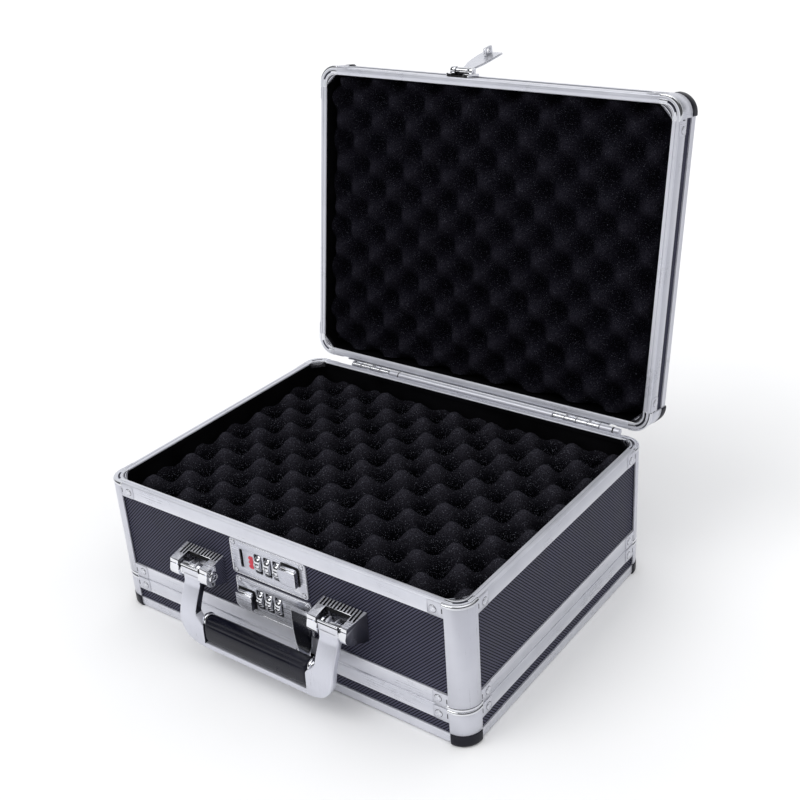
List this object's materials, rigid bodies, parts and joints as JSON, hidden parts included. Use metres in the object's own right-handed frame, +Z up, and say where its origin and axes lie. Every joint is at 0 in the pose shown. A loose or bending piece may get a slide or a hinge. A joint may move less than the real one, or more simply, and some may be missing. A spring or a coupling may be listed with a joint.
{
  "type": "drone carrying case",
  "caption": "Hard-sided carrying case with aluminium frames, opposed egg-crate foam lined lids, combination locks, chrome corner pieces and a folding front handle.",
  "frame": {"origin": "centre of the lower lid's flat outer panel, on the panel's face, with both the lower lid shut and the case standing on it", "axes": "+X to the right seen from the handle side, +Y from the handle side to the hinge side, +Z up; the edge trim stands 1.1 mm and the corner caps 2.1 mm below the origin"},
  "size_m": [0.3544, 0.4111, 0.4096],
  "materials": {
    "laminate": "finely ribbed dark laminate over board",
    "board": "black-lined board",
    "frame": "brushed, satin anodised",
    "corner_steel": "bright plated, softly satin",
    "cap_plastic": "black moulded",
    "foam": "black open-cell foam",
    "grip": "padded, smooth satin",
    "handle_metal": "satin plated",
    "hinge_steel": "bright plated",
    "hardware": "bright plated"
  },
  "bodies": {
    "case_body": {"body_side_panels": "laminate", "body_divider": "board", "body_rim_upper": "frame", "body_rim_lower": "frame", "body_post_fl": "corner_steel", "body_post_fr": "corner_steel", "body_post_rl": "corner_steel", "body_post_rr": "corner_steel", "body_foam_upper": "foam", "body_foam_lower": "foam", "handle_bracket_left": "hardware", "handle_bracket_right": "hardware", "upper_lock_body": "hardware", "lower_lock_body": "hardware", "upper_hinge_body_leaf": "hinge_steel", "lower_hinge_body_leaf": "hinge_steel", "upper_hinge_pin_left": "hinge_steel", "upper_hinge_pin_right": "hinge_steel", "lower_hinge_pin_left": "hinge_steel", "lower_hinge_pin_right": "hinge_steel"},
    "upper_lid": {"upper_lid_panel": "laminate", "upper_lid_rim_frame": "frame", "upper_lid_edge_trim": "frame", "upper_lid_corner_fl": "corner_steel", "upper_lid_corner_fr": "corner_steel", "upper_lid_corner_rl": "corner_steel", "upper_lid_corner_rr": "corner_steel", "upper_lid_cap_fl": "cap_plastic", "upper_lid_cap_fr": "cap_plastic", "upper_lid_cap_rl": "cap_plastic", "upper_lid_cap_rr": "cap_plastic", "upper_lid_foam": "foam", "upper_hinge_lid_leaf": "hinge_steel", "upper_hasp_mount": "hardware"},
    "lower_lid": {"lower_lid_panel": "laminate", "lower_lid_rim_frame": "frame", "lower_lid_edge_trim": "frame", "lower_lid_corner_fl": "corner_steel", "lower_lid_corner_fr": "corner_steel", "lower_lid_corner_rl": "corner_steel", "lower_lid_corner_rr": "corner_steel", "lower_lid_cap_fl": "cap_plastic", "lower_lid_cap_fr": "cap_plastic", "lower_lid_cap_rl": "cap_plastic", "lower_lid_cap_rr": "cap_plastic", "lower_lid_foam": "foam", "lower_hinge_lid_leaf": "hinge_steel", "lower_hasp_mount": "hardware"},
    "upper_hasp": {"upper_hasp": "hardware"},
    "lower_hasp": {"lower_hasp": "hardware"},
    "handle": {"handle_frame": "handle_metal", "handle_grip": "grip"},
    "upper_dial_1": {"upper_dial_1": "hardware"},
    "upper_dial_2": {"upper_dial_2": "hardware"},
    "upper_dial_3": {"upper_dial_3": "hardware"},
    "upper_button": {"upper_button": "hardware"},
    "lower_dial_1": {"lower_dial_1": "hardware"},
    "lower_dial_2": {"lower_dial_2": "hardware"},
    "lower_dial_3": {"lower_dial_3": "hardware"},
    "lower_button": {"lower_button": "hardware"}
  },
  "joints": [
    {"name": "upper_lid_hinge", "type": "hinge", "parent": "case_body", "child": "upper_lid", "pos_m": [0, 0.13935, 0.1197], "axis": [1, 0, 0], "range_deg": [0, 98.6]},
    {"name": "lower_lid_hinge", "type": "hinge", "parent": "case_body", "child": "lower_lid", "pos_m": [0, 0.13935, 0.0309], "axis": [1, 0, 0], "range_deg": [0, 98.6]},
    {"name": "upper_hasp_hinge", "type": "hinge", "parent": "upper_lid", "child": "upper_hasp", "pos_m": [-0.029, 0.19413, 0.39364], "axis": [1, 0, 0], "range_deg": [0, 165]},
    {"name": "lower_hasp_hinge", "type": "hinge", "parent": "lower_lid", "child": "lower_hasp", "pos_m": [0.03, -0.1397, 0.0177], "axis": [1, 0, 0], "range_deg": [0, 15]},
    {"name": "handle_hinge", "type": "hinge", "parent": "case_body", "child": "handle", "pos_m": [0, -0.1475, 0.0736], "axis": [-1, 0, 0], "range_deg": [0, 90]},
    {"name": "upper_dial_1_spin", "type": "hinge", "parent": "case_body", "child": "upper_dial_1", "pos_m": [-0.0117, -0.1309, 0.0923], "axis": [1, 0, 0], "continuous": true},
    {"name": "upper_dial_2_spin", "type": "hinge", "parent": "case_body", "child": "upper_dial_2", "pos_m": [-0.0023, -0.1309, 0.0923], "axis": [1, 0, 0], "continuous": true},
    {"name": "upper_dial_3_spin", "type": "hinge", "parent": "case_body", "child": "upper_dial_3", "pos_m": [0.0071, -0.1309, 0.0923], "axis": [1, 0, 0], "continuous": true},
    {"name": "lower_dial_1_spin", "type": "hinge", "parent": "case_body", "child": "lower_dial_1", "pos_m": [-0.0142, -0.1309, 0.0583], "axis": [1, 0, 0], "continuous": true},
    {"name": "lower_dial_2_spin", "type": "hinge", "parent": "case_body", "child": "lower_dial_2", "pos_m": [-0.0048, -0.1309, 0.0583], "axis": [1, 0, 0], "continuous": true},
    {"name": "lower_dial_3_spin", "type": "hinge", "parent": "case_body", "child": "lower_dial_3", "pos_m": [0.0046, -0.1309, 0.0583], "axis": [1, 0, 0], "continuous": true},
    {"name": "upper_button_slide", "type": "slide", "parent": "case_body", "child": "upper_button", "axis": [1, 0, 0], "range_m": [0, 0.004]},
    {"name": "lower_button_slide", "type": "slide", "parent": "case_body", "child": "lower_button", "axis": [-1, 0, 0], "range_m": [0, 0.004]}
  ]
}
